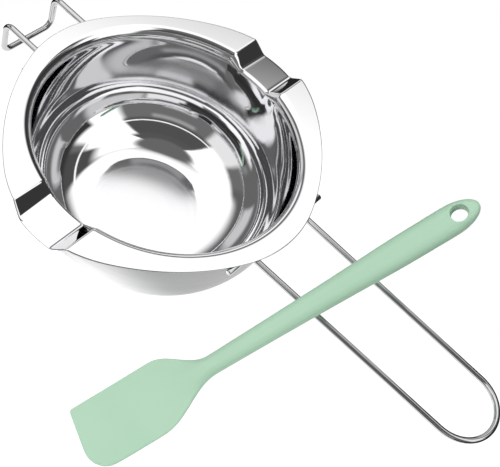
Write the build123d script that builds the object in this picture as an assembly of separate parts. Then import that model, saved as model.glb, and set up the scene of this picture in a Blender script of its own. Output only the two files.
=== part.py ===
from build123d import *
from math import acos, asin, atan2, cos, hypot, radians, sin
import os

# Stainless steel melting pot with a wire handle and a wire pan rest, and a silicone spatula
# that leans on the handle. Millimetres. The origin is the middle of the pot's flat base, on
# the table. +X runs along the handle, the pan rest is at -X, the pouring spouts at +-Y, +Z up.

# ---- bowl -------------------------------------------------------------------------------
sheet = 0.7                   # thickness of the pressed steel
bowl_height = 56.0            # table to the top of the flange
base_radius = 29.5            # flat of the base
corner_radius = 22.0          # inside radius between the base and the wall
mouth_radius = 55.3           # inside of the wall under the flange
bend_radius = 4.0             # top of the bend from the wall into the flange
flange_width = 11.1           # wall to the edge of the flange, at the handle
side_radius = 50.2            # the flange's edge there
flank_radius = 105.0          # its edge from there to a spout

# ---- pouring spouts ---------------------------------------------------------------------
spout_drop = 4.7              # flange to the floor of the spout
spout_floor_half = 8.2        # half width of the spout's flat floor
spout_side_run = 5.7          # floor out to the top of a sloping side
spout_bend = 1.8              # radius between its floor and its sides
spout_roll = 1.3              # radius from the flange and the bowl's wall over into it
lip_overhang = 6.7            # how much further out the flange reaches at a spout
lip_radius = 45.6             # its edge there, in plan

# ---- handle and pan rest ----------------------------------------------------------------
wire = 2.6                    # diameter of the bent wire
weld_gap = 0.05               # between the wire and the flange that it is welded to
root_inset = 7.1              # edge of the flange in to the bent ends of the wires
wire_bend = 4.0               # bend radius of the wire, on its centre line
handle_length = 104.2         # edge of the flange to the centre line at the far end
handle_loop_radius = 15.0     # centre line of the loop
handle_root_half = 15.9       # half the distance between the two legs at the pot
handle_stub = 12.6            # bent end of each leg, past the leg
rest_length = 16.4            # edge of the flange to the drop of the pan rest
rest_half = 13.5              # half the distance between its two arms
rest_drop = 17.0              # arms down to its cross bar
rest_stub = 11.5
wire_end_round = 0.6          # dressed edge of each cut end

# ---- welds under the flange -------------------------------------------------------------
weld_length = 6.0
weld_width = 4.4
weld_height = 1.5
weld_inset = 2.0              # edge of the flange to the nearest place of a bead

# ---- spatula ----------------------------------------------------------------------------
spatula_length = 177.0
blade_width = 28.0
blade_straight = 39.0         # blade end to the start of the shoulders
blade_end_depth = 1.6
blade_body_depth = 2.6
blade_round_corner = 9.0      # one corner is round and the other nearly square
blade_square_corner = 1.0
shoulder_length = 20.0        # shoulders to the neck
neck_width = 8.0
neck_depth = 5.6
grip_width = 12.2
grip_depth = 7.2
grip_station = 142.0          # widest place of the grip, from the blade end
blade_edge_round = 0.6
hang_hole_radius = 3.3
hang_hole_inset = 8.6         # tip to the middle of the hang hole
hang_hole_round = 0.7
core_radius = 1.5             # stiffening rod inside the grip
core_lead = 5.0               # how far it reaches past the neck, into the blade
core_end_gap = 8.0            # rod to the edge of the hang hole
core_clearance = 0.02
spatula_heading = 70.1        # degrees from +X to the spatula, seen from above
spatula_cross_run = 24.7      # edge of the flange to where it crosses the near leg
spatula_cross_station = 106.0  # the same place, measured from the blade end
rest_clearance = 0.3          # between resting pieces

# ---- worked out from the sizes above ----------------------------------------------------
flange_under = bowl_height - sheet
flange_radius = mouth_radius + flange_width
lip_reach = flange_radius + lip_overhang
spout_top_half = spout_floor_half + spout_side_run
wire_radius = wire / 2
wire_level = flange_under - weld_gap - wire_radius
mouth_level = bowl_height - bend_radius
corner_level = sheet + corner_radius
root_radius = flange_radius - root_inset
handle_reach = flange_radius + handle_length
rest_reach = flange_radius + rest_length
loop_centre_x = handle_reach - handle_loop_radius
spatula_cross_x = flange_radius + spatula_cross_run
neck_station = blade_straight + shoulder_length
far = 2 * lip_reach           # longer than anything it has to cut
same = 0.01                   # places and radii this close are the same one


def bowl_filling(skin):
    """Solid that fills the bowl to a surface 'skin' outside its inner one."""
    # the wall is one long arc, tangent to the corner and upright at the mouth
    across = mouth_radius - base_radius - corner_radius
    join_angle = -2 * atan2(across, mouth_level - corner_level)
    corner = corner_radius + skin
    bottom = (base_radius, sheet - skin)

    def on_corner(angle):
        return base_radius + corner * cos(angle), corner_level + corner * sin(angle)

    join = on_corner(join_angle)
    corner_middle = on_corner((join_angle - radians(90)) / 2)
    side = (mouth_radius + skin, mouth_level)
    bend_centre = mouth_radius + bend_radius
    bend = bend_radius - skin
    bend_middle = (bend_centre - bend * cos(radians(45)), mouth_level + bend * sin(radians(45)))
    rim = (bend_centre, bowl_height - skin)
    top = bowl_height + sheet - skin
    with BuildSketch(Plane.XZ) as half:
        with BuildLine():
            Line((0, bottom[1]), bottom)
            ThreePointArc(bottom, corner_middle, join)
            TangentArc(join, side, tangent=(-sin(join_angle), cos(join_angle)))
            ThreePointArc(side, bend_middle, rim)
            Polyline(rim, (bend_centre, top), (0, top), (0, bottom[1]))
        make_face()
    return revolve(half.sketch, axis=Axis.Z)


def inner_meeting(centre_a, radius_a, centre_b, radius_b):
    """Where two circles cross, on the side nearer to the origin."""
    between = centre_b - centre_a
    along = (between.length**2 + radius_a**2 - radius_b**2) / (2 * between.length)
    out = (radius_a**2 - along**2) ** 0.5
    foot = centre_a + between.normalized() * along
    across = between.normalized().rotate(Axis.Z, 90) * out
    return min(foot + across, foot - across, key=lambda point: point.length)


def flange_outline():
    """Plan of the flange: arcs that run into each other, out to a bowed lip at each spout."""
    side_centre = Vector(flange_radius - side_radius, 0)
    lip_centre = Vector(0, lip_reach - lip_radius)
    flank_centre = inner_meeting(side_centre, flank_radius - side_radius,
                                 lip_centre, flank_radius - lip_radius)
    side_end = flank_centre + (side_centre - flank_centre).normalized() * flank_radius
    lip_end = flank_centre + (lip_centre - flank_centre).normalized() * flank_radius
    with BuildSketch() as outline:
        with BuildLine():
            side = ThreePointArc((side_end.X, -side_end.Y), (flange_radius, 0), side_end)
            flank = TangentArc(side @ 1, lip_end, tangent=side % 1)
            mirror(flank, about=Plane.XZ)
            lip = ThreePointArc(lip_end, (0, lip_reach), (-lip_end.X, lip_end.Y))
            mirror(lip, about=Plane.XZ)
            mirror((side, flank), about=Plane.YZ)
            mirror(mirror(flank, about=Plane.XZ, mode=Mode.PRIVATE), about=Plane.YZ)
        make_face()
    return outline.sketch


def spout_punch():
    """Section across a spout, seen along Y, with the flange's top at height 0."""
    margin = 3 * spout_bend
    with BuildSketch() as punch:
        with BuildLine():
            floor = Line((-spout_floor_half, -spout_drop), (spout_floor_half, -spout_drop))
            side = Polyline(floor @ 1, (spout_top_half, 0), (spout_top_half + margin, 0),
                            (spout_top_half + margin, margin), (0, margin))
            mirror(side, about=Plane.YZ)
        make_face()
        fillet(punch.vertices().group_by(Axis.Y)[0], spout_bend)
    return punch.sketch


def along_spouts(section):
    """Carries a spout section from inside the bowl out past the lip, at both spouts."""
    start = mouth_radius - 3 * bend_radius
    bars = []
    for side in (-1, 1):
        frame = Plane(origin=(0, side * start, bowl_height), x_dir=(-side, 0, 0),
                      z_dir=(0, side, 0))
        bars.append(extrude(frame * section, far - start))
    return bars


def is_spout_brim(edge):
    """Whether an edge is where a spout leaves the flange, the bend or the inner wall."""
    middle = edge @ 0.5
    if abs(middle.X) > spout_top_half + same or abs(middle.Y) < abs(middle.X):
        return False
    if abs(middle.Z - bowl_height) < same:
        return abs(abs(middle.X) - spout_top_half) < same
    across = hypot(middle.X, middle.Y)
    above = middle.Z - mouth_level
    if above < 0:
        off = across - mouth_radius
    else:
        off = hypot(mouth_radius + bend_radius - across, above) - bend_radius
    high = middle.Z > bowl_height - spout_drop - sheet / 2
    return high and abs(off) < sheet / 3 and abs(above) > same


def make_bowl():
    outline = flange_outline()
    punch = spout_punch()
    dies = along_spouts(offset(punch, amount=sheet))
    flange = Pos(0, 0, flange_under) * extrude(outline, sheet)
    blank = extrude(outline, bowl_height)
    body = bowl_filling(sheet) + flange
    for die in dies:
        body += die & blank
    body -= bowl_filling(0)
    for cut in along_spouts(punch):
        body -= cut
    return fillet(body.edges().filter_by(is_spout_brim), spout_roll)


def leg_touch():
    """Where a leg from the pot runs into the loop of the handle."""
    run = root_radius - loop_centre_x
    reach = hypot(run, handle_root_half)
    turn = atan2(handle_root_half, run) - acos(handle_loop_radius / reach)
    return loop_centre_x + handle_loop_radius * cos(turn), handle_loop_radius * sin(turn)


def sweep_wire(path):
    """Round wire along a path, with its two cut ends dressed."""
    section = Plane(origin=path @ 0, z_dir=path % 0) * Circle(wire_radius)
    rod = sweep(section, path=path)
    ends = rod.faces().filter_by(GeomType.PLANE).edges()
    return fillet(ends, wire_end_round)


def make_handle():
    touch_x, touch_y = leg_touch()
    stub_y = handle_root_half + handle_stub

    def leg(side):
        points = [(root_radius, side * stub_y), (root_radius, side * handle_root_half),
                  (touch_x, side * touch_y)]
        return FilletPolyline(*points, radius=wire_bend)

    loop = ThreePointArc((touch_x, -touch_y), (handle_reach, 0), (touch_x, touch_y))
    path = Wire(leg(-1).edges() + loop.edges() + leg(1).edges())
    return sweep_wire(Pos(0, 0, wire_level) * path)


def make_pan_rest():
    low = wire_level - rest_drop
    half = [(-root_radius, rest_half + rest_stub, wire_level), (-root_radius, rest_half, wire_level),
            (-rest_reach, rest_half, wire_level), (-rest_reach, rest_half, low)]
    mirrored = [(x, -y, z) for x, y, z in reversed(half)]
    return sweep_wire(FilletPolyline(*half, *mirrored, radius=wire_bend))


def make_weld(x, y, wire_solid):
    """Bead between the flange and a wire end that runs along Y, cut off inside the edge."""
    bead = extrude(Rectangle(weld_width, weld_length), -weld_height)
    bead = chamfer(bead.faces().sort_by(Axis.Z)[0].edges(), weld_height / 3)
    under_flange = Pos(0, 0, flange_under) * Cylinder(flange_radius - weld_inset, far)
    return (Pos(x, y, flange_under) * bead & under_flange) - wire_solid


# ---- spatula, drawn flat: X from the blade end to the tip, Z out of its upper face --------
def grip_section(station, width, depth):
    """Rounded section across the grip."""
    plane = Plane(origin=(station, 0, 0), x_dir=(0, 1, 0), z_dir=(1, 0, 0))
    return plane * RectangleRounded(width, depth, grip_round(depth))


def blade_plan():
    """Outline of the blade, with one round corner and sloping shoulders."""
    half = blade_width / 2
    neck = neck_width / 2
    with BuildSketch() as plan:
        with BuildLine():
            start = Polyline((neck_station, neck), (neck_station, -neck))
            low = Spline((neck_station, -neck), (blade_straight, -half),
                         tangents=((-1, 0), (-1, 0)))
            Polyline(low @ 1, (0, -half), (0, half), (blade_straight, half))
            Spline((blade_straight, half), start @ 0, tangents=((1, 0), (1, 0)))
        make_face()
        corners = plan.vertices().group_by(Axis.X)[0].sort_by(Axis.Y)
        fillet(corners[0], blade_round_corner)
        corners = plan.vertices().group_by(Axis.X)[0].sort_by(Axis.Y)
        fillet(corners[-1], blade_square_corner)
    return plan.sketch


def blade_side():
    """Side view of the blade: it tapers to its end, and swells at the shoulders to the neck."""
    with BuildSketch(Plane.XZ) as side:
        with BuildLine():
            end = Line((0, -blade_end_depth / 2), (0, blade_end_depth / 2))
            neck = Line((neck_station, neck_depth / 2), (neck_station, -neck_depth / 2))
            taper = Line(end @ 1, (blade_straight, blade_body_depth / 2))
            swell = Spline(taper @ 1, neck @ 0, tangents=(taper % 1, (1, 0)))
            mirror([taper, swell], about=Plane.XZ)
        make_face()
    return side.sketch


def grip_round(depth):
    """Corner radius of the grip's section, nearly a full round."""
    return 0.42 * depth


def make_tip(station):
    """Round end of the grip: its section turned half way about the tip's middle."""
    section = grip_section(station, grip_width, grip_depth)
    section &= Pos(station, far / 2, 0) * Box(far, far, far)
    return revolve(section, axis=Axis((station, 0, 0), (0, 0, 1)), revolution_arc=-180)


def make_spatula():
    """The moulded silicone, in one piece from the blade to the tip."""
    grip_end = spatula_length - grip_width / 2
    blade = extrude(blade_plan(), neck_depth, both=True)
    blade &= extrude(blade_side(), blade_width, both=True)
    rims = blade.edges().filter_by(lambda edge: (edge @ 0.5).X < neck_station - same)
    blade = fillet(rims, blade_edge_round)
    swell = loft([
        grip_section(neck_station, neck_width, neck_depth),
        grip_section(spatula_cross_station, cross_width(), cross_depth()),
        grip_section(grip_station, grip_width, grip_depth),
    ])
    straight = extrude(grip_section(grip_station, grip_width, grip_depth), grip_end - grip_station)
    body = blade + swell + straight + make_tip(grip_end)
    hole_station = spatula_length - hang_hole_inset
    body -= Pos(hole_station, 0) * Cylinder(hang_hole_radius, far)
    rims = body.edges().filter_by(GeomType.CIRCLE).filter_by(
        lambda edge: abs(edge.radius - hang_hole_radius) < same)
    body = fillet(rims, hang_hole_round)
    return body - make_core(core_clearance)


def make_core(margin):
    """Stiffening rod inside the grip, or with a margin the hollow that it lies in."""
    hole_station = spatula_length - hang_hole_inset
    end = hole_station - hang_hole_radius - core_end_gap
    start = neck_station - core_lead
    rod = Cylinder(core_radius + margin, end - start + 2 * margin)
    return Pos((start + end) / 2, 0, 0) * Rot(0, 90, 0) * rod


def cross_share():
    """How far the grip has swollen, from 0 at the neck to 1 at its widest, over the leg."""
    return (spatula_cross_station - neck_station) / (grip_station - neck_station)


def cross_width():
    return neck_width + cross_share() ** 1.5 * (grip_width - neck_width)


def cross_depth():
    return neck_depth + cross_share() * (grip_depth - neck_depth)


def leg_offset(x):
    """Distance of a leg from the middle line of the handle, 'x' from the middle of the pot."""
    touch_x, touch_y = leg_touch()
    share = (x - root_radius) / (touch_x - root_radius)
    return handle_root_half + share * (touch_y - handle_root_half)


def spatula_frame():
    """Blade end on the table, grip just clear of the near leg of the handle."""
    heading = radians(spatula_heading)
    across = Vector(-sin(heading), cos(heading), 0)
    start_level = blade_end_depth / 2
    rise = 0
    for _ in range(12):
        along = Vector(cos(rise) * cos(heading), cos(rise) * sin(heading), sin(rise))
        up = along.cross(across)
        between = Vector(1, 0, 0).cross(along).normalized()
        round_part = grip_round(cross_depth())
        reach = round_part
        reach += (cross_width() / 2 - round_part) * abs(between.dot(across))
        reach += (cross_depth() / 2 - round_part) * abs(between.dot(up))
        cross_level = wire_level + (wire_radius + rest_clearance + reach) / between.Z
        start_level = blade_end_depth / 2 * cos(rise)
        rise = asin((cross_level - start_level) / spatula_cross_station)
    cross_y = -leg_offset(spatula_cross_x)
    level_run = spatula_cross_station * cos(rise)
    start = Vector(spatula_cross_x - level_run * cos(heading), cross_y - level_run * sin(heading),
                   start_level)
    return Location(Plane(origin=start, x_dir=along, z_dir=up))


def all_pieces():
    handle = make_handle()
    rest = make_pan_rest()
    handle_weld_y = handle_root_half + (wire_bend + handle_stub) / 2
    rest_weld_y = rest_half + (wire_bend + rest_stub) / 2
    pose = spatula_frame()
    return {
        "bowl": make_bowl(),
        "handle_wire": handle,
        "handle_weld_right": make_weld(root_radius, -handle_weld_y, handle),
        "handle_weld_left": make_weld(root_radius, handle_weld_y, handle),
        "pan_rest": rest,
        "pan_rest_weld_right": make_weld(-root_radius, -rest_weld_y, rest),
        "pan_rest_weld_left": make_weld(-root_radius, rest_weld_y, rest),
        "spatula": pose * make_spatula(),
        "spatula_core": pose * make_core(0),
    }


os.makedirs("parts", exist_ok=True)
for name, piece in all_pieces().items():
    export_step(piece, f"parts/{name}.step")
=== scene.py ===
# %% [markdown]
# # A melting bowl and its spatula
# A steel bowl for melting wax over hot water, with two pouring spouts, a long wire handle and a
# wire rest that hooks over the pan. A silicone spatula leans on the handle.
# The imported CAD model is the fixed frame. It gives every place and size. Here each piece gets the
# smooth surface and the finish that polished steel and moulded silicone need.

# %% The fixed frame
import math

import bmesh
import bpy
from mathutils import Matrix, Vector


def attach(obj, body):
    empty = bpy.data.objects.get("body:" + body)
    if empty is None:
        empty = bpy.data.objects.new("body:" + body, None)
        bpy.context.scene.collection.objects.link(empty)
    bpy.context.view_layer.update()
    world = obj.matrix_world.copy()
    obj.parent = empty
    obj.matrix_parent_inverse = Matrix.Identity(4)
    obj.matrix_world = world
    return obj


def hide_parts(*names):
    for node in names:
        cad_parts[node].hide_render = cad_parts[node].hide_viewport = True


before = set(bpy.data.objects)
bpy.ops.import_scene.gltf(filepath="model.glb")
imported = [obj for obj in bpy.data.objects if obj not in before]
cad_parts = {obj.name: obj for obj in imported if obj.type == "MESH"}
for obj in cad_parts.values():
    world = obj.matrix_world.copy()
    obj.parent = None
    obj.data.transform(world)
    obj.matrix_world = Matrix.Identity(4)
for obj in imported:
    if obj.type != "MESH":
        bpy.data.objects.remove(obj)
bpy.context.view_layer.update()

# %% [markdown]
# ## The camera
# A product camera stands well back and looks down into the bowl, a little from the side and
# rolled, so that the handle runs to the lower corner. It could be aimed with a track-to
# constraint, but a constraint has no roll. A matrix made of its three directions is exact.

# %% Camera
CAMERA_PLACE = (0.13163, -0.23728, 0.37675)
CAMERA_RIGHT = (0.7213, 0.6358, 0.2746)
CAMERA_UP = (-0.6644, 0.5234, 0.5335)
CAMERA_BACK = (0.1955, -0.5673, 0.8000)
LENS = 74.0
SENSOR_WIDTH = 36.0

camera_data = bpy.data.cameras.new("camera")
camera_data.lens = LENS
camera_data.sensor_width = SENSOR_WIDTH
camera = bpy.data.objects.new("camera", camera_data)
bpy.context.scene.collection.objects.link(camera)
turned = Matrix((CAMERA_RIGHT, CAMERA_UP, CAMERA_BACK)).transposed().to_4x4()
camera.matrix_world = Matrix.Translation(CAMERA_PLACE) @ turned
bpy.context.scene.camera = camera
bpy.context.scene.view_settings.view_transform = "Standard"
print("camera", tuple(round(v, 3) for v in camera.location))

# %% [markdown]
# ## Helpers
# Every piece is drawn in millimetres, as its maker would, and scaled to metres at the end. A
# spin turns points, edges or faces about an axis: it bends a wire as well as it turns a bowl.

# %% Helpers that draw
MM = 0.001
TINY = 1e-4                   # millimetres: two points this close are one


def verts_of(geom):
    return [g for g in geom if isinstance(g, bmesh.types.BMVert)]


def edges_of(geom):
    return [g for g in geom if isinstance(g, bmesh.types.BMEdge)]


def turn(bm, geom, degrees, steps=1, centre=(0, 0, 0), axis=(0, 0, 1)):
    """Spins geometry about an axis and returns what stands at the end of the turn."""
    made = bmesh.ops.spin(bm, geom=geom, cent=centre, axis=axis, dvec=(0, 0, 0),
                          angle=math.radians(degrees), steps=steps, use_merge=False,
                          use_normal_flip=False, use_duplicate=False)
    return made["geom_last"]


def push(bm, geom, vector):
    """Extrudes a point, or the edges of a ring, in a straight line and returns the far end."""
    if edges_of(geom):
        made = bmesh.ops.extrude_edge_only(bm, edges=edges_of(geom))["geom"]
    else:
        made = bmesh.ops.extrude_vert_indiv(bm, verts=verts_of(geom))["verts"]
    bmesh.ops.translate(bm, vec=vector, verts=verts_of(made))
    return [g for g in made if not isinstance(g, bmesh.types.BMFace)]


def smoothstep(low, high, value):
    """0 at low, 1 at high, and a soft S between them."""
    share = min(1.0, max(0.0, (value - low) / (high - low)))
    return share * share * (3 - 2 * share)


print("half way up a smoothstep:", smoothstep(0, 1, 0.5))


# %% Helpers that finish a piece
def add_piece(bm, name, body, materials, nodes):
    """Scales a finished mesh to metres and hands it over as a piece that rides on a body."""
    bmesh.ops.scale(bm, vec=(MM, MM, MM), verts=bm.verts)
    mesh = bpy.data.meshes.new(name)
    bm.to_mesh(mesh)
    bm.free()
    mesh.polygons.foreach_set("use_smooth", [True] * len(mesh.polygons))
    for material in materials:
        mesh.materials.append(material)
    piece = bpy.data.objects.new(name, mesh)
    bpy.context.scene.collection.objects.link(piece)
    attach(piece, body)
    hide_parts(*nodes)
    print(name, len(mesh.vertices), "vertices,", len(mesh.polygons), "faces")
    return piece


def add_subdivision(piece, levels):
    soften = piece.modifiers.new("subdivision", "SUBSURF")
    soften.levels = soften.render_levels = levels


# %% [markdown]
# ## Steel
# Polished steel shows its surroundings. What makes it read as a pressed and buffed sheet is the
# faint grain of the buffing wheel, which runs round the bowl. A picture of scratches would need
# unwrapping. Noise that is fed with the distance from the axis and the height makes rings that
# follow the shape by themselves.

# %% Helpers for materials
GRAIN_TURN = 0.02             # how quickly the grain changes round the bowl, against across it


def new_material(name, **values):
    """A material with its shader's own sockets set to plain values."""
    material = bpy.data.materials.new(name)
    material.use_nodes = True
    shader = material.node_tree.nodes["Principled BSDF"]
    for key, value in values.items():
        shader.inputs[key.replace("_", " ").title()].default_value = value
    return material, material.node_tree, shader


def add_node(tree, kind, inputs=None, **settings):
    """A shader node with its settings, its plain inputs and its links made in one go."""
    node = tree.nodes.new("ShaderNode" + kind)
    for key, value in settings.items():
        setattr(node, key, value)
    for key, value in (inputs or {}).items():
        if isinstance(value, bpy.types.NodeSocket):
            tree.links.new(value, node.inputs[key])
        else:
            node.inputs[key].default_value = value
    return node


def noise_between(tree, vector, scale, low, high):
    """Noise that wanders between two values."""
    noise = add_node(tree, "TexNoise", {"Vector": vector, "Scale": scale, "Detail": 3.0})
    spread = add_node(tree, "MapRange", {"Value": noise.outputs["Fac"], "From Min": 0.3,
                                         "From Max": 0.7, "To Min": low, "To Max": high})
    return spread.outputs["Result"]


def ring_vector(tree):
    """Coordinates that change quickly away from the axis and along it, and slowly round it."""
    place = add_node(tree, "TexCoord").outputs["Object"]
    parts = add_node(tree, "SeparateXYZ", {"Vector": place})
    flat = add_node(tree, "CombineXYZ", {"X": parts.outputs["X"], "Y": parts.outputs["Y"]})
    away = add_node(tree, "VectorMath", {0: flat.outputs["Vector"]}, operation="LENGTH")
    across = add_node(tree, "VectorMath", {0: flat.outputs["Vector"], "Scale": GRAIN_TURN},
                      operation="SCALE")
    split = add_node(tree, "SeparateXYZ", {"Vector": across.outputs["Vector"]})
    sideways = add_node(tree, "Math", {0: split.outputs["X"], 1: split.outputs["Y"]},
                        operation="ADD")
    rings = add_node(tree, "CombineXYZ", {"X": away.outputs["Value"], "Y": parts.outputs["Z"],
                                          "Z": sideways.outputs["Value"]})
    return rings.outputs["Vector"], away.outputs["Value"]


def add_bump(tree, shader, height, strength, distance):
    bump = add_node(tree, "Bump", {"Height": height, "Strength": strength,
                                   "Distance": distance})
    tree.links.new(bump.outputs["Normal"], shader.inputs["Normal"])


# %% [markdown]
# Inside, the bowl is buffed to a mirror, but a wheel hardly reaches the flat base, so the base is
# hazier. Outside, it keeps the satin of the drawn sheet. The weld beads are dull and rippled.
# One steel with a different gloss everywhere would need a painted mask. The distance from the
# axis finds the base without one, and the outside is the sheet's other face, with its own steel.

# %% Polished, satin and weld steel
BASE = 25.5                   # radius of the flat base


def make_polished():
    material, tree, shader = new_material("polished_steel", base_color=(0.86, 0.86, 0.87, 1),
                                          metallic=1.0)
    rings, away = ring_vector(tree)
    haze = noise_between(tree, rings, 900.0, 0.02, 0.05)
    base = add_node(tree, "MapRange", {"Value": away, "From Min": (BASE + 1) * MM,
                                       "From Max": (BASE - 2) * MM, "To Min": 0.0,
                                       "To Max": 0.16})
    both = add_node(tree, "Math", {0: haze, 1: base.outputs["Result"]}, operation="ADD")
    tree.links.new(both.outputs["Value"], shader.inputs["Roughness"])
    grain = add_node(tree, "TexNoise", {"Vector": rings, "Scale": 2600.0, "Detail": 4.0})
    add_bump(tree, shader, grain.outputs["Fac"], 0.06, 0.00002)
    return material


def make_satin():
    material, tree, shader = new_material("satin_steel", base_color=(0.38, 0.38, 0.385, 1),
                                          metallic=1.0)
    rings, away = ring_vector(tree)
    haze = noise_between(tree, rings, 700.0, 0.28, 0.40)
    tree.links.new(haze, shader.inputs["Roughness"])
    grain = add_node(tree, "TexNoise", {"Vector": rings, "Scale": 3000.0, "Detail": 4.0})
    add_bump(tree, shader, grain.outputs["Fac"], 0.2, 0.00003)
    return material


def make_weld():
    material, tree, shader = new_material("weld_steel", base_color=(0.42, 0.41, 0.40, 1),
                                          metallic=1.0)
    place = add_node(tree, "TexCoord").outputs["Object"]
    haze = noise_between(tree, place, 900.0, 0.35, 0.6)
    tree.links.new(haze, shader.inputs["Roughness"])
    ripple = add_node(tree, "TexNoise", {"Vector": place, "Scale": 1400.0, "Detail": 2.0})
    add_bump(tree, shader, ripple.outputs["Fac"], 0.5, 0.0001)
    return material


polished = make_polished()
satin = make_satin()
weld = make_weld()
print("steel finishes:", polished.name, satin.name, weld.name)

# %% [markdown]
# ## The bowl
# The real bowl is drawn from one disc of sheet: a flat base, a generous corner, a wall that
# bellies out a little under the mouth, a tight bend and a flat flange. A mirror finish shows the
# smallest change in such a wall, so it is an arc and not a straight run. Its half section is a
# chain of points. Straight parts are extruded from a point and arcs are a point spun about its
# centre, so that each arc is true.

# %% Sizes of the half section
SHEET = 0.7
HEIGHT = 56.0
CORNER = 31.0                 # radius from the base into the wall
WALL = 70.0                   # radius of the wall's belly
MOUTH = 55.3                  # radius of the mouth
BEND = 4.0                    # radius from the wall into the flange
FLANGE = 66.4                 # radius of the flange before it is pressed


def third_corner(a, b, from_a, from_b):
    """The point at two given distances from a and b, on the left of the line between them."""
    between = b - a
    along = (between.length**2 + from_a**2 - from_b**2) / (2 * between.length)
    across = Vector((-between.y, between.x)).normalized()
    return a + between.normalized() * along + across * math.sqrt(from_a**2 - along**2)


corner_centre = Vector((BASE, SHEET + CORNER))
bend_centre = Vector((MOUTH + BEND, HEIGHT - BEND))
wall_centre = third_corner(corner_centre, bend_centre, WALL - CORNER, WALL + BEND)
to_corner, to_bend = corner_centre - wall_centre, bend_centre - wall_centre
corner_turn = math.degrees(math.atan2(to_corner.x, -to_corner.y))
mouth_turn = math.degrees(math.atan2(to_bend.x, -to_bend.y))
mouth_level = (wall_centre + to_bend.normalized() * WALL).y
print("the corner turns", round(corner_turn, 1), "and the wall ends at", round(mouth_turn, 1),
      "degrees, widest at", round(wall_centre.x + WALL, 1), "mm")

# %% The half section as a chain of points
BASE_RUNS = (5, 6, 7, 4.2, 3, 0.3)                      # add up to BASE
FLANGE_RUNS = (0.2, 1.1, 2.0, 2.0, 1.1, 0.35, 0.35)     # add up to the flat of the flange


def draw_section(bm):
    """The inner side from the middle of the base out to the edge of the flange."""
    ccw, cw = (0, -1, 0), (0, 1, 0)
    end = [bm.verts.new((0, 0, SHEET))]
    for run in BASE_RUNS:
        end = push(bm, end, (run, 0, 0))
    end = turn(bm, end, corner_turn, 20, (corner_centre.x, 0, corner_centre.y), ccw)
    end = turn(bm, end, mouth_turn - corner_turn, 8, (wall_centre.x, 0, wall_centre.y), ccw)
    end = turn(bm, end, mouth_turn, 11, (bend_centre.x, 0, bend_centre.y), cw)
    for run in FLANGE_RUNS:
        end = push(bm, end, (run, 0, 0))


print("flat of the base", round(sum(BASE_RUNS), 1), "mm, of the flange",
      round(sum(FLANGE_RUNS), 1), "mm")

# %% [markdown]
# ## The spouts
# A punch presses each spout down into the flange: a flat floor, two sloping sides and a bend
# along each edge. Modelled by hand it would be a boolean cut and a bevel, but pressed sheet keeps
# its thickness and has no cut edges. So the columns of the mesh are laid along the spout first,
# with one column on each line of its section, and then the points are pressed down.

# %% Section of a spout
DROP = 4.7
FLOOR_HALF = 8.2
SIDE_RUN = 5.7
SPOUT_BEND = 1.8              # bend along the top of a side
FLOOR_BEND = 4.0              # softer bend along the floor

slope = math.atan2(DROP, SIDE_RUN)
top_centre = FLOOR_HALF + SIDE_RUN + SPOUT_BEND * math.tan(slope / 2)
top_swing = SPOUT_BEND * math.sin(slope)
floor_centre = FLOOR_HALF - FLOOR_BEND * math.tan(slope / 2)
floor_swing = FLOOR_BEND * math.sin(slope)


def groove(x):
    """How deep the spout is pressed, x to the side of its middle."""
    x = abs(x)
    if x >= top_centre:
        return 0.0
    if x > top_centre - top_swing:
        return SPOUT_BEND - math.sqrt(SPOUT_BEND**2 - (top_centre - x)**2)
    if x > floor_centre + floor_swing:
        return (FLOOR_HALF + SIDE_RUN - x) * math.tan(slope)
    if x > floor_centre:
        return DROP - FLOOR_BEND + math.sqrt(FLOOR_BEND**2 - (x - floor_centre)**2)
    return DROP


print("a spout is", round(2 * top_centre, 1), "mm wide, its flat floor",
      round(2 * floor_centre, 1), "mm")

# %% [markdown]
# Seen from above, the flange isn't round: the die draws it out into a lip at each spout. Its edge
# is three arcs that run into each other, one beside the handle, a flat one along the flank and
# one round the lip. A curve through points could only come near to arcs. The centre of the
# middle arc follows from the other two, as the corner of a triangle.

# %% Plan of the flange
SIDE_ARC = 50.2
FLANK_ARC = 105.0
LIP_ARC = 45.6
LIP = 73.1                    # from the bowl's axis to the end of a spout

side_centre = Vector((FLANGE - SIDE_ARC, 0))
lip_centre = Vector((0, LIP - LIP_ARC))
flank_centre = third_corner(side_centre, lip_centre, FLANK_ARC - SIDE_ARC, FLANK_ARC - LIP_ARC)
side_end = (side_centre - flank_centre).angle_signed(Vector((1, 0)))
lip_end = (lip_centre - flank_centre).angle_signed(Vector((1, 0)))
ARCS = ((side_centre, SIDE_ARC, side_end), (flank_centre, FLANK_ARC, lip_end),
        (lip_centre, LIP_ARC, math.pi))


def edge_along(start, direction):
    """Edge of the flange, met from a point inside it in a direction."""
    for centre, radius, arc_end in ARCS:
        back = (centre - start).dot(direction)
        point = start + direction * (back + math.sqrt(
            back**2 - (centre - start).length_squared + radius**2))
        if math.atan2(point.y - flank_centre.y, point.x - flank_centre.x) <= arc_end:
            return point


print("the arcs meet", round(math.degrees(side_end)), "and", round(math.degrees(lip_end)),
      "degrees round the flank's centre")

# %% [markdown]
# Away from the spouts the columns fan out from the wall to the edge. Along a spout they run side
# by side, because its bends do. Every line on which the section changes gets a column, and each
# bend a few more, so that the bend stays round when it is subdivided.

# %% The columns of a quarter of the bowl
PARALLEL = 17.6               # columns nearer the middle of a spout than this run along it
FAN_COLUMNS = 28
BESIDE_SPOUT = [17.05, 16.6, 16.2, 15.8, 15.4, 15.0]
ON_SIDE = [12.4, 11.4, 10.4, 9.6]
ON_FLOOR = [5.6, 4.2, 2.8, 1.4, 0.0]
TOP_GUARD = 0.22              # a column this close to a bend keeps it from spreading
FLOOR_GUARD = 0.3

fan_end = math.acos(PARALLEL / MOUTH)
first_parallel = edge_along(Vector((PARALLEL, 0)), Vector((0, 1)))
fan_gain = math.atan2(first_parallel.y, first_parallel.x) - fan_end


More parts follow.
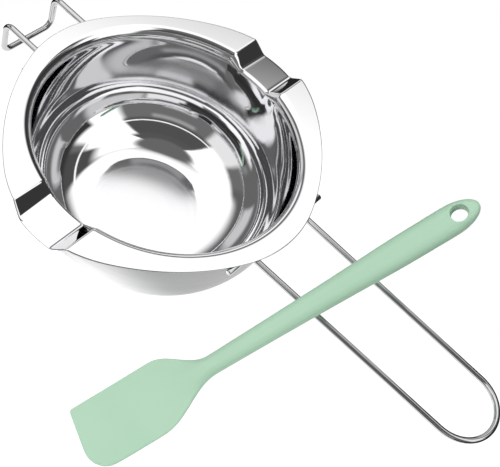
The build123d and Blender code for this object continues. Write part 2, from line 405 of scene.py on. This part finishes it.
def edge_point(angle):
    """Edge of the flange that belongs to a column that leaves the wall at this angle."""
    x = MOUTH * math.cos(angle)
    if x <= PARALLEL:
        return edge_along(Vector((x, 0)), Vector((0, 1)))
    out = angle + fan_gain * (angle / fan_end)**3
    return edge_along(Vector((0, 0)), Vector((math.cos(out), math.sin(out))))


def column_angles():
    """Angles of the columns from the handle's side round to the middle of a spout."""
    fan = [fan_end * k / FAN_COLUMNS for k in range(FAN_COLUMNS + 1)]
    share = [math.sin(slope * k / 5) for k in range(6)]
    lines = BESIDE_SPOUT + [top_centre + TOP_GUARD]
    lines += [top_centre - SPOUT_BEND * k for k in share]
    lines += [top_centre - top_swing - TOP_GUARD] + ON_SIDE
    lines += [floor_centre + FLOOR_BEND * k for k in reversed(share)]
    lines += [floor_centre - FLOOR_GUARD] + ON_FLOOR
    return fan + [math.acos(x / MOUTH) for x in lines]


print("columns in a quarter:", len(column_angles()))

# %% [markdown]
# The press lowers the flange and its bend into the spout, tightens the bend there and draws the
# top of the wall down with it. The floor falls a little towards the lip, so that wax runs off.

# %% The press
SPOUT_ROLL = 1.6              # bend from the wall into a spout's floor
FALL = 1.0                    # how much lower the floor is at the lip than at the wall
DRAWN_FROM = 34.0             # the wall is drawn down above this level


def press(vert):
    """Moves one point of the turned bowl to where the press leaves it."""
    x, y, z = vert.co
    if z < DRAWN_FROM:
        return
    away = math.hypot(x, y)
    angle = math.atan2(y, x)
    wall = Vector((math.cos(angle), math.sin(angle))) * MOUTH
    depth = groove(wall.x)
    tight = 1 - (1 - SPOUT_ROLL / BEND) * smoothstep(0, 1, depth / DROP)
    if z <= mouth_level + TINY:
        lower = depth - (HEIGHT - mouth_level) * (1 - tight)
        vert.co.z -= lower * smoothstep(DRAWN_FROM, mouth_level, z)
        return
    edge = edge_point(angle)
    reach = (edge - wall).length
    if away < MOUTH + BEND:
        out = (away - MOUTH) * tight
        level = HEIGHT - depth - (HEIGHT - z) * tight
    else:
        share = (away - MOUTH - BEND) / (FLANGE - MOUTH - BEND)
        out = BEND * tight + share * (reach - BEND * tight)
        level = HEIGHT - depth * (1 + FALL / DROP * share)
    place = wall + (edge - wall) / reach * out
    vert.co = (place.x, place.y, level)


print("the floor of a spout falls", FALL, "mm over", round(LIP - MOUTH - SPOUT_ROLL, 1), "mm")


# %% Turn, press and mirror
def make_bowl():
    bm = bmesh.new()
    draw_section(bm)
    end = bm.verts[:] + bm.edges[:]
    angles = column_angles()
    for before, after in zip(angles, angles[1:]):
        end = turn(bm, end, math.degrees(after - before))
    for vert in bm.verts:
        press(vert)
    for axis in ("X", "Y"):
        bmesh.ops.mirror(bm, geom=bm.verts[:] + bm.edges[:] + bm.faces[:],
                         matrix=Matrix.Identity(4), merge_dist=TINY, axis=axis)
    bmesh.ops.remove_doubles(bm, verts=bm.verts, dist=TINY)
    bmesh.ops.dissolve_degenerate(bm, edges=bm.edges, dist=TINY)
    bmesh.ops.recalc_face_normals(bm, faces=bm.faces)
    base = min(bm.faces, key=lambda face: face.calc_center_median().z)
    if base.normal.z < 0:
        bmesh.ops.reverse_faces(bm, faces=bm.faces)
    piece = add_piece(bm, "melting_bowl", "pot", [polished, satin], ["bowl"])
    wall = piece.modifiers.new("sheet", "SOLIDIFY")
    wall.thickness = SHEET * MM
    wall.offset = -1.0
    wall.use_even_offset = True
    wall.material_offset = 1
    wall.material_offset_rim = 1
    add_subdivision(piece, 1)
    return piece


bowl = make_bowl()

# %% [markdown]
# ## The wires
# The handle and the pan rest are each bent from one length of 2.6 mm wire. Drawn wire is bright,
# with fine streaks along it. Streaks that follow a bent wire need to know where they are on it, so
# each point of its mesh keeps how far along the wire it lies and where round it.

# %% Bright wire
def make_wire_steel():
    material, tree, shader = new_material("wire_steel", base_color=(0.60, 0.60, 0.61, 1),
                                          metallic=1.0)
    along = add_node(tree, "Attribute", attribute_name="along").outputs["Fac"]
    around = add_node(tree, "Attribute", attribute_name="around").outputs["Vector"]
    slow = add_node(tree, "Math", {0: along, 1: 0.02}, operation="MULTIPLY")
    streak = add_node(tree, "VectorMath", {0: around, 1: slow.outputs["Value"]},
                      operation="ADD")
    haze = noise_between(tree, streak.outputs["Vector"], 6.0, 0.03, 0.09)
    tree.links.new(haze, shader.inputs["Roughness"])
    grain = add_node(tree, "TexNoise", {"Vector": streak.outputs["Vector"], "Scale": 22.0,
                                        "Detail": 4.0})
    add_bump(tree, shader, grain.outputs["Fac"], 0.08, 0.00001)
    return material


wire_steel = make_wire_steel()
print("wire finish:", wire_steel.name)

# %% [markdown]
# A curve with a round bevel would make a wire, but the bending machine's own way is as short:
# feed a straight length, swing the wire about a pin, feed again. A ring of points is extruded for
# each feed and spun for each bend. Its two ends get a slightly domed cap with a round edge.

# %% The ends of a wire
WIRE = 1.3                    # half the wire's diameter
DOME = ((0.28, 0.93), (0.20, 0.78), (0.04, 0.35))       # steps outwards and the rings' sizes


def close_end(bm, edges, outward):
    """Caps a ring of edges with a slightly domed, round-edged end."""
    for step, size in DOME:
        made = bmesh.ops.extrude_edge_only(bm, edges=edges)["geom"]
        edges, ring = edges_of(made), verts_of(made)
        bmesh.ops.translate(bm, vec=outward * step, verts=ring)
        centre = sum((vert.co for vert in ring), Vector()) / len(ring)
        grown = WIRE * size / (ring[0].co - centre).length
        bmesh.ops.scale(bm, vec=(grown,) * 3, space=Matrix.Translation(-centre), verts=ring)
    bmesh.ops.edgeloop_fill(bm, edges=edges)


print("an end is domed by", round(sum(step for step, size in DOME), 2), "mm")

# %% The wire bender
WIRE_SIDES = 24
FEED_STEP = 12                # millimetres between rings on a straight run
BEND_STEP = 6                 # degrees between rings in a bend


def mark(ring, along, fed):
    """Notes on the points of a ring how far along the wire they lie."""
    for vert in verts_of(ring):
        vert[along] = fed


def bend_wire(start, heading, moves):
    """Bends one wire: a number feeds it straight, a (radius, new heading) pair bends it."""
    bm = bmesh.new()
    along = bm.verts.layers.float.new("along")
    around = bm.verts.layers.float_vector.new("around")
    place, heading = Vector(start), Vector(heading)
    swung = heading.to_track_quat("Z", "Y").to_matrix().to_4x4()
    bmesh.ops.create_circle(bm, segments=WIRE_SIDES, radius=WIRE,
                            matrix=Matrix.Translation(place) @ swung)
    for number, vert in enumerate(bm.verts):
        angle = 2 * math.pi * number / WIRE_SIDES
        vert[around] = (math.cos(angle), math.sin(angle), 0)
    first = end = bm.edges[:]
    backward, fed = -heading, 0.0
    for move in moves:
        if isinstance(move, tuple):
            radius, new_heading = move[0], Vector(move[1])
            axis = heading.cross(new_heading).normalized()
            swing = heading.angle(new_heading)
            pin = place + axis.cross(heading) * radius
            steps = max(6, round(math.degrees(swing) / BEND_STEP))
            for _ in range(steps):
                end = turn(bm, end, math.degrees(swing) / steps, 1, pin, axis)
                fed += swing * radius / steps
                mark(end, along, fed)
            place = pin + Matrix.Rotation(swing, 3, axis) @ (place - pin)
            heading = new_heading
        else:
            steps = max(1, round(move / FEED_STEP))
            for _ in range(steps):
                end = push(bm, end, heading * (move / steps))
                fed += move / steps
                mark(end, along, fed)
            place = place + heading * move
    close_end(bm, edges_of(end), heading)
    close_end(bm, first, backward)
    bmesh.ops.recalc_face_normals(bm, faces=bm.faces)
    print("wire of", round(fed), "mm ends at", tuple(round(v, 1) for v in place))
    return bm


# %% [markdown]
# The handle's two ends lie under the flange, turned outwards. From there its legs spread a little
# and run into the round of the loop, which they meet without a kink: that fixes their angle.

# %% Handle
WIRE_GAP = 0.05               # between a wire and the flange that it is welded to
UNDER = HEIGHT - SHEET - WIRE_GAP - WIRE
ROOT = 59.3                   # from the bowl's axis to the wire's ends
BEND_PIN = 4.0
LOOP = 15.0
LOOP_X = 155.6
LEG_HALF = 15.9               # half the distance between the legs at the root
STUB = 12.6                   # from a leg to the end of the wire

loop_run = math.hypot(LOOP_X - ROOT, LEG_HALF)
leg_angle = math.asin(LOOP / loop_run) - math.atan2(LEG_HALF, LOOP_X - ROOT)
leg_length = math.sqrt(loop_run**2 - LOOP**2)


def level_heading(degrees):
    return Vector((math.cos(math.radians(degrees)), math.sin(math.radians(degrees)), 0))


def make_handle():
    tilt = -math.degrees(leg_angle)
    taken = BEND_PIN * math.tan(math.radians((90 - tilt) / 2))
    leg = leg_length - taken
    out, back, across = level_heading(tilt), level_heading(180 - tilt), (0, 1, 0)
    moves = [STUB - taken, (BEND_PIN, out), leg, (LOOP, across), (LOOP, back), leg,
             (BEND_PIN, across), STUB - taken]
    bm = bend_wire((ROOT, -LEG_HALF - STUB, UNDER), across, moves)
    return add_piece(bm, "wire_handle", "pot", [wire_steel], ["handle_wire"])


handle = make_handle()

# %% [markdown]
# The pan rest is the shorter wire: two arms, two drops and the bar that joins them, which hooks
# over the rim of a saucepan. Every bend is a right angle about the same pin.

# %% Pan rest
REST_REACH = 82.8
REST_HALF = 13.5
REST_DROP = 17.0
REST_STUB = 11.5


def make_rest():
    arm = REST_REACH - ROOT - 2 * BEND_PIN
    drop = REST_DROP - 2 * BEND_PIN
    across, out, back, down, up = (0, -1, 0), (-1, 0, 0), (1, 0, 0), (0, 0, -1), (0, 0, 1)
    moves = [REST_STUB - BEND_PIN, (BEND_PIN, out), arm, (BEND_PIN, down), drop,
             (BEND_PIN, across), 2 * (REST_HALF - BEND_PIN), (BEND_PIN, up), drop,
             (BEND_PIN, back), arm, (BEND_PIN, across), REST_STUB - BEND_PIN]
    bm = bend_wire((-ROOT, REST_HALF + REST_STUB, UNDER), across, moves)
    return add_piece(bm, "wire_pan_rest", "pot", [wire_steel], ["pan_rest"])


rest = make_rest()

# %% [markdown]
# ## Silicone
# Moulded silicone is matt and a little waxy. Light that scatters inside it could be traced as
# subsurface light, which is slow. A faint sheen and a cloudy tint come near enough to it. The rod
# inside the grip is plain nylon.

# %% Mint silicone and the rod's nylon
MINT_DEEP = (0.375, 0.585, 0.425, 1)
MINT_PALE = (0.405, 0.610, 0.455, 1)


def make_silicone():
    material, tree, shader = new_material("mint_silicone", sheen_weight=0.12,
                                          sheen_roughness=0.4)
    place = add_node(tree, "TexCoord").outputs["Object"]
    cloud = add_node(tree, "TexNoise", {"Vector": place, "Scale": 22.0, "Detail": 3.0})
    tint = add_node(tree, "ValToRGB", {"Fac": cloud.outputs["Fac"]})
    deep, pale = tint.color_ramp.elements
    deep.position, deep.color = 0.3, MINT_DEEP
    pale.position, pale.color = 0.7, MINT_PALE
    tree.links.new(tint.outputs["Color"], shader.inputs["Base Color"])
    haze = noise_between(tree, place, 700.0, 0.46, 0.56)
    tree.links.new(haze, shader.inputs["Roughness"])
    return material


def make_nylon():
    material, tree, shader = new_material("core_nylon")
    place = add_node(tree, "TexCoord").outputs["Object"]
    haze = noise_between(tree, place, 500.0, 0.40, 0.50)
    tree.links.new(haze, shader.inputs["Roughness"])
    tint = noise_between(tree, place, 60.0, 0.70, 0.78)
    grey = add_node(tree, "CombineColor", {"Red": tint, "Green": tint, "Blue": tint})
    tree.links.new(grey.outputs["Color"], shader.inputs["Base Color"])
    return material


silicone = make_silicone()
nylon = make_nylon()
print("spatula finishes:", silicone.name, nylon.name)

# %% [markdown]
# ## The spatula
# The blade, the neck and the grip are one moulding. It could be sculpted from a box, but its
# sections are simple: a ring of 24 points is carried from the blade's end to the tip, and at each
# station takes the section that the mould has there. Subdivision makes it smooth. First comes its
# outline: one corner of the blade is round, so that it follows a bowl, and the other is square.

# %% Outline of the spatula
BLADE_HALF = 14.0
BLADE_STRAIGHT = 39.0         # the side with the square corner starts to narrow here
ROUND_SIDE_STRAIGHT = 32.0    # and the side with the round corner here
ROUND_CORNER = 11.0
SQUARE_CORNER = 1.0
NECK = 59.0
NECK_HALF = 4.0
GRIP_HALF = 6.1
TIP = 177.0
TIP_LENGTH = 13.0
TIP_START = TIP - TIP_LENGTH
GRIP_STATIONS = (NECK, 106.0, 142.0)
GRIP_WIDTHS = (NECK_HALF, 4.895, GRIP_HALF)


def through(stations, values, x):
    """Smooth curve through three points."""
    (a, b, c), (p, q, r) = stations, values
    return (p * (x - b) * (x - c) / ((a - b) * (a - c))
            + q * (x - a) * (x - c) / ((b - a) * (b - c))
            + r * (x - a) * (x - b) / ((c - a) * (c - b)))


def tip_share(x, power):
    """1 along the grip, then down an ellipse to nothing at the tip."""
    if x < TIP_START:
        return 1.0
    return max(0.0, 1 - ((x - TIP_START) / TIP_LENGTH)**power)**0.5


def half_width(x, side):
    """From the middle line to the edge. The round corner is on the negative side."""
    straight = ROUND_SIDE_STRAIGHT if side < 0 else BLADE_STRAIGHT
    corner = ROUND_CORNER if side < 0 else SQUARE_CORNER
    if x < corner:
        return BLADE_HALF - corner + math.sqrt(corner**2 - (corner - x)**2)
    if x < NECK:
        return BLADE_HALF - (BLADE_HALF - NECK_HALF) * smoothstep(straight, NECK, x)
    if x < GRIP_STATIONS[2]:
        return through(GRIP_STATIONS, GRIP_WIDTHS, x)
    return GRIP_HALF * tip_share(x, 2.0)


print("blade", 2 * BLADE_HALF, "mm wide, neck", 2 * NECK_HALF, "mm, grip", 2 * GRIP_HALF, "mm")

# %% [markdown]
# The blade is thin and gets thinner beside a spine that fans out from the neck, so that its edges
# bend to the bowl. The grip is nearly a full round.

# %% Thickness of the spatula
BLADE_END_DEPTH = 0.8         # depths are half of the thickness
BLADE_ROOT_DEPTH = 1.3
NECK_DEPTH = 2.8
GRIP_DEPTH = 3.6
GRIP_DEPTHS = (NECK_DEPTH, 3.253, GRIP_DEPTH)
EDGE_ROUND = 0.6
GRIP_ROUND = 0.84             # how much of the grip's depth its edges are rounded over
SPINE_HALF = 3.2              # half width of the spine at the neck
SPINE_SPREAD = 9.5            # what it gains towards the blade's end
EDGE_LOSS = 1.1               # how much of the depth the edges lose


def half_depth(x):
    if x < BLADE_STRAIGHT:
        return BLADE_END_DEPTH + (BLADE_ROOT_DEPTH - BLADE_END_DEPTH) * x / BLADE_STRAIGHT
    if x < NECK:
        rise = smoothstep(BLADE_STRAIGHT - 2, NECK, x)
        return BLADE_ROOT_DEPTH + (NECK_DEPTH - BLADE_ROOT_DEPTH) * rise
    if x < GRIP_STATIONS[2]:
        return through(GRIP_STATIONS, GRIP_DEPTHS, x)
    return GRIP_DEPTH * tip_share(x, 3.0)


def edge_round(x):
    """Radius along the edges: small on the blade and nearly a full round on the grip."""
    full = GRIP_ROUND * half_depth(x)
    return EDGE_ROUND + (full - EDGE_ROUND) * smoothstep(BLADE_STRAIGHT, NECK, x)


def surface_height(x, y):
    """Height of the upper face over the middle of the section."""
    depth, half = half_depth(x), half_width(x, y)
    corner = min(edge_round(x), half)
    over = abs(y) - (half - corner)
    if over <= 0:
        return depth
    return depth - corner + math.sqrt(max(0.0, corner**2 - over**2))


def thin_edge(x, y):
    """What the blade loses beside the spine that fans out from the neck."""
    spine = SPINE_HALF + SPINE_SPREAD * smoothstep(NECK + 3, 12, x)
    loss = EDGE_LOSS * smoothstep(NECK + 6, NECK - 8, x) * smoothstep(4, 40, x)
    return loss * smoothstep(0.55 * spine, 1.25 * spine, abs(y))


print("blade", 2 * BLADE_END_DEPTH, "mm thick at its end, grip", 2 * GRIP_DEPTH, "mm")

# %% [markdown]
# Seven rows of points make a quarter of the section: one on the side, one where the side ends,
# one on the rounding and four on the flat. The other quarters mirror them, each with the width
# of its own side. The blade's end slants, so its stations slide along with the width.

# %% One point of a section
END_SLANT = 2.0               # how far the square corner stands back from the round one
ROWS = 6                      # from the side of the section to its middle
ROUNDING_ROW = 0.29           # where the row on the rounding lies, as a share of its radius
FLAT_ROWS = (1.0, 0.62, 0.31, 0.0)                      # rows on the flat, from its edge inwards
MOST_ROUND = 0.9              # an edge is rounded over no more of the half width
MOST_LOSS = 0.45              # and loses no more of its depth
END_PINCH = 0.72              # the blade's very end is thinner, which rounds it


def section_point(x, number):
    """One of the 24 points of the section, counted from the +y side over the upper face."""
    side = 1 if number <= ROWS or number >= 3 * ROWS else -1
    above = 1 if number < 2 * ROWS else -1
    row = ROWS - abs(ROWS - number % (2 * ROWS))
    half = half_width(x, side)
    corner = min(edge_round(x), MOST_ROUND * half)
    on_flat = [(half - corner) * share for share in FLAT_ROWS]
    y = [half, half, half - ROUNDING_ROW * corner, *on_flat][row]
    if row == 0:
        z = 0.0
    elif row == 1:
        z = max(0.0, half_depth(x) - edge_round(x))
    else:
        z = surface_height(x, side * y)
    z -= min(thin_edge(x, y), MOST_LOSS * z)
    if x == 0:
        z *= END_PINCH
    slant = END_SLANT * (side * y / BLADE_HALF + 1) / 2 * smoothstep(BLADE_STRAIGHT, 0, x)
    return Vector((x + slant, side * y, above * z))


print("the corners stand", round(section_point(0, 0).x, 2), "and",
      round(section_point(0, 2 * ROWS).x, 2), "mm back")

# %% [markdown]
# The hang hole goes right through the tip of the grip. A boolean would leave long thin faces in a
# smooth surface. Here the faces over the hole go, the two rims that are left are set round, and a
# few rings lead over the hole's rounded lip before the rims are bridged.

# %% The hang hole
HOLE_CENTRE = TIP - 8.6
HOLE = 3.3
HOLE_ROUND = 0.7
HOLE_STEP = 1.55              # between the stations across the hole
HOLE_LIP = ((0.3, 0.12), (0.55, 0.45), (HOLE_ROUND, 1.1))       # inwards and down


def set_on_rim(vert, radius, sink):
    """Puts a point at a radius round the hole, sunk below the face that it belongs to."""
    out = Vector((vert.co.x - HOLE_CENTRE, vert.co.y)).normalized() * radius
    side = 1 if vert.co.z > 0 else -1
    x, y = HOLE_CENTRE + out.x, out.y
    vert.co = (x, y, side * (surface_height(x, y) - sink))


def pierce(bm):
    """Opens the hang hole: the faces over it go, and its two rims are bridged."""
    gone = [face for face in bm.faces
            if abs(face.calc_center_median().x - HOLE_CENTRE) < 2 * HOLE_STEP
            and abs(face.calc_center_median().y) < GRIP_HALF - edge_round(HOLE_CENTRE)]
    bmesh.ops.delete(bm, geom=gone, context="FACES")
    rims = [edge for edge in bm.edges if edge.is_boundary]
    for vert in {v for edge in rims for v in edge.verts}:
        set_on_rim(vert, HOLE + HOLE_ROUND, 0.0)
    for shrink, sink in HOLE_LIP:
        made = bmesh.ops.extrude_edge_only(bm, edges=rims)["geom"]
        rims = edges_of(made)
        for vert in verts_of(made):
            set_on_rim(vert, HOLE + HOLE_ROUND - shrink, sink)
    bmesh.ops.bridge_loops(bm, edges=rims)


print("the hole is", 2 * HOLE, "mm wide,", round(TIP - HOLE_CENTRE, 1), "mm from the tip")

# %% [markdown]
# The stations lie closer together where the outline turns quickly: at the blade's end, round the
# hole and at the tip. The finished spatula is then laid in its place, with its blade's end on the
# table and its grip across both legs of the handle.

# %% Carry the ring from the blade to the tip
STATIONS = [0, 0.3, 0.9, 1.8, 3.2, 5.0, 7.0, 9.0, 13, 18, 23, 28, 33, 37, 40, 43, 46, 49, 52, 55,
            58, 61, 66, 74, 84, 95, 106, 117, 128, 138, 146, 153, 159, 163]
STATIONS += [HOLE_CENTRE + HOLE_STEP * k for k in (-2, -1, 0, 1, 2)]
STATIONS += [TIP - short for short in (4.1, 2.7, 1.6, 0.8, 0.3, 0.07)]
SPATULA_START = (61.31213, -97.8911, 0.66048)
SPATULA_X = (0.28102, 0.7763, 0.56425)                  # from the blade's end to the tip
SPATULA_Y = (-0.94029, 0.34038, 0.0)                    # towards the square corner
SPATULA_Z = (-0.19206, -0.53056, 0.8256)                # out of the upper face


def make_spatula():
    bm = bmesh.new()
    order = bm.verts.layers.int.new("order")
    bmesh.ops.create_circle(bm, segments=4 * ROWS, radius=1)
    for number, vert in enumerate(bm.verts):
        vert[order] = number
    first = end = bm.edges[:]
    ring = bm.verts[:]
    for station in STATIONS:
        if station > 0:
            end = push(bm, end, (0, 0, 0))
            ring = verts_of(end)
        for vert in ring:
            vert.co = section_point(station, vert[order])
    bmesh.ops.edgeloop_fill(bm, edges=first)
    bmesh.ops.edgeloop_fill(bm, edges=edges_of(end))
    pierce(bm)
    bmesh.ops.recalc_face_normals(bm, faces=bm.faces)
    pose = Matrix((SPATULA_X, SPATULA_Y, SPATULA_Z)).transposed().to_4x4()
    bmesh.ops.transform(bm, matrix=Matrix.Translation(SPATULA_START) @ pose, verts=bm.verts)
    piece = add_piece(bm, "silicone_spatula", "spatula", [silicone],
                      ["spatula"])
    add_subdivision(piece, 2)
    return piece


spatula = make_spatula()

# %% [markdown]
# ## Nodes that stay
# The weld beads under the flange and the rod inside the grip are simple solids. They could be
# drawn again, but their CAD shapes are right, so they stay and only get a finish.

# %% Finishes for the CAD nodes
for name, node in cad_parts.items():
    finish = weld if "weld" in name else nylon if name == "spatula_core" else None
    if finish:
        node.data.materials.clear()
        node.data.materials.append(finish)
        print(name, "gets", finish.name)

# %% [markdown]
# ## Floor and light
# The set stands on a plain pale disc. Under lamps alone it would be grey with soft shadows. A
# floor that glows by itself stays pale everywhere, and the mirror finish shows a bright floor.
# The glow is stronger near the bowl, which lightens the middle of its satin outside, and the disc
# ends soon after, so that the wires mirror a dark horizon along their sides.

# %% Floor
FLOOR_CENTRE = (0.045, -0.09, -0.0002)
FLOOR_RADIUS = 0.2
FLOOR_GLOW = 0.85
POOL_CENTRE = (0.015, -0.055, 0)
POOL_RADIUS = 0.05
POOL_GLOW = 2.4


def make_floor():
    bm = bmesh.new()
    bmesh.ops.create_circle(bm, cap_ends=True, segments=96, radius=FLOOR_RADIUS)
    bmesh.ops.translate(bm, vec=FLOOR_CENTRE, verts=bm.verts)
    mesh = bpy.data.meshes.new("floor")
    bm.to_mesh(mesh)
    bm.free()
    floor = bpy.data.objects.new("floor", mesh)
    bpy.context.scene.collection.objects.link(floor)
    material, tree, shader = new_material("floor_white", base_color=(0.3, 0.3, 0.3, 1),
                                          roughness=1.0, emission_color=(1, 1, 1, 1))
    place = add_node(tree, "TexCoord").outputs["Object"]
    away = add_node(tree, "VectorMath", {0: place, 1: POOL_CENTRE}, operation="DISTANCE")
    glow = add_node(tree, "MapRange", {"Value": away.outputs["Value"], "From Min": POOL_RADIUS,
                                       "From Max": 0.0, "To Min": FLOOR_GLOW,
                                       "To Max": POOL_GLOW},
                    interpolation_type="SMOOTHSTEP")
    tree.links.new(glow.outputs["Result"], shader.inputs["Emission Strength"])
    mesh.materials.append(material)
    print("floor", 2 * FLOOR_RADIUS, "m across")


make_floor()

# %% [markdown]
# A mirror needs something to mirror on every side. Real screens would stand in the way of a
# camera that walks round the bowl, so they are painted on the sky: each one is a soft-edged patch
# of brightness round one direction, given by its bearing and its height in degrees. Later screens
# cover earlier ones, and what no screen covers is dim. The camera itself sees plain white.

# %% Screens of the studio
DIM = 0.17
# bearing, height, half width, half height, soft edge, brightness
SCREENS = [
    (0, -30, 180, 32, 4, 0.02), (-152, 12, 38, 12, 14, 0.75), (-62, 16, 14, 6, 6, 0.75),
    (140, 17, 26, 9, 8, 1.05), (15, 8, 25, 4, 8, 0.30), (-60, 40, 22, 3, 6, 0.38),
    (-116, 36, 18, 14, 8, 0.90), (160, 36, 42, 8, 10, 0.13), (18, 40, 27, 20, 10, 1.25),
    (-147, 62, 42, 16, 8, 1.35), (38, 64, 44, 14, 8, 1.35), (136, 59, 54, 17, 14, 1.25),
    (72, 46, 17, 14, 8, 0.08), (66, 25, 46, 11, 6, 0.04), (60, 5, 62, 9, 5, 0.05),
    (-57, 60, 50, 16, 6, 0.09), (-50, 75, 58, 6, 6, 0.10), (0, 90, 180, 12.5, 5, 0.15),
    (0, 48.5, 180, 0.8, 1.0, 1.2),
]


def near(tree, angle, centre, half, soft):
    """1 where an angle is within half of its centre, 0 beyond, and a soft edge between."""
    off = add_node(tree, "Math", {0: angle, 1: math.radians(centre)}, operation="SUBTRACT")
    wrapped = add_node(tree, "Math", {0: off.outputs["Value"], 1: math.pi, 2: -math.pi},
                       operation="WRAP")
    size = add_node(tree, "Math", {0: wrapped.outputs["Value"]}, operation="ABSOLUTE")
    mask = add_node(tree, "MapRange", {"Value": size.outputs["Value"],
                                       "From Min": math.radians(half + soft / 2),
                                       "From Max": math.radians(half - soft / 2)},
                    interpolation_type="SMOOTHSTEP")
    return mask.outputs["Result"]


def make_studio():
    world = bpy.data.worlds.new("studio")
    world.use_nodes = True
    tree = world.node_tree
    background = tree.nodes["Background"]
    view = add_node(tree, "TexCoord").outputs["Generated"]
    parts = add_node(tree, "SeparateXYZ", {"Vector": view}).outputs
    bearing = add_node(tree, "Math", {0: parts["Y"], 1: parts["X"]},
                       operation="ARCTAN2").outputs["Value"]
    height = add_node(tree, "Math", {0: parts["Z"]}, operation="ARCSINE").outputs["Value"]
    light = DIM
    for turn_to, up, half_wide, half_high, soft, brightness in SCREENS:
        wide = near(tree, bearing, turn_to, half_wide, soft)
        high = near(tree, height, up, half_high, soft)
        mask = add_node(tree, "Math", {0: wide, 1: high}, operation="MULTIPLY")
        light = add_node(tree, "Mix", {0: mask.outputs["Value"], 2: light,
                                       3: brightness}).outputs[0]
    ray = add_node(tree, "LightPath").outputs
    light = add_node(tree, "Mix", {0: ray["Is Camera Ray"], 2: light, 3: 1.0}).outputs[0]
    tree.links.new(light, background.inputs["Color"])
    bpy.context.scene.world = world
    print(len(SCREENS), "screens")


make_studio()

# %% [markdown]
# Matt silicone would look dull under these screens alone, so two large soft lights fill it.
# Polished steel would mirror them as squares, so they are hidden from reflections.

# %% Softboxes
SOFTBOX_PLACES = ((-0.5, -0.5, 0.9), (0.7, -0.35, 0.9))
SOFTBOX_AIM = (0.05, -0.03, 0.05)
SOFTBOX_SIZE = 0.9
SOFTBOX_WATTS = 5.0


def add_softbox(place):
    data = bpy.data.lights.new("softbox", "AREA")
    data.size, data.energy = SOFTBOX_SIZE, SOFTBOX_WATTS
    box = bpy.data.objects.new("softbox", data)
    bpy.context.scene.collection.objects.link(box)
    box.location = place
    heading = Vector(SOFTBOX_AIM) - Vector(place)
    box.rotation_euler = heading.to_track_quat("-Z", "Y").to_euler()
    box.visible_glossy = False
    print("softbox", round(heading.length, 2), "m away")


for softbox_place in SOFTBOX_PLACES:
    add_softbox(softbox_place)
